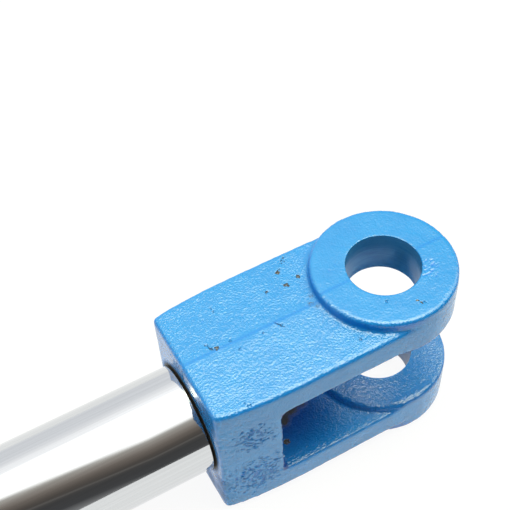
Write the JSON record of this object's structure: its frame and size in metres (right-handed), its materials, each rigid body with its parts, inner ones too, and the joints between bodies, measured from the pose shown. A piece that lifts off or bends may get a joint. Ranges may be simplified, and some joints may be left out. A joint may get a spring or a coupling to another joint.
{
  "type": "hydraulic piston rod",
  "caption": "Chrome-plated hydraulic piston rod with a blue-painted cast fork clevis screwed on its outer end, cross-bored for a pin, and a turned piston seat and nut thread at the other.",
  "frame": {"origin": "middle of the pin eye, half way between the two ears on the rod axis", "axes": "+X along the rod from the piston end towards the eye, +Z along the pin axis, +Y to the side of the set screw"},
  "size_m": [0.4315, 0.0506, 0.0668],
  "materials": {
    "chrome": "ground steel bar with polished hard chrome plating",
    "blue_enamel": "blue enamel over a sand-cast ductile iron skin, chipped in places",
    "black_steel": "black oxide on alloy steel"
  },
  "bodies": {
    "root": {"piston_rod": "chrome", "rod_clevis": "blue_enamel", "clevis_set_screw": "black_steel"}
  },
  "joints": []
}
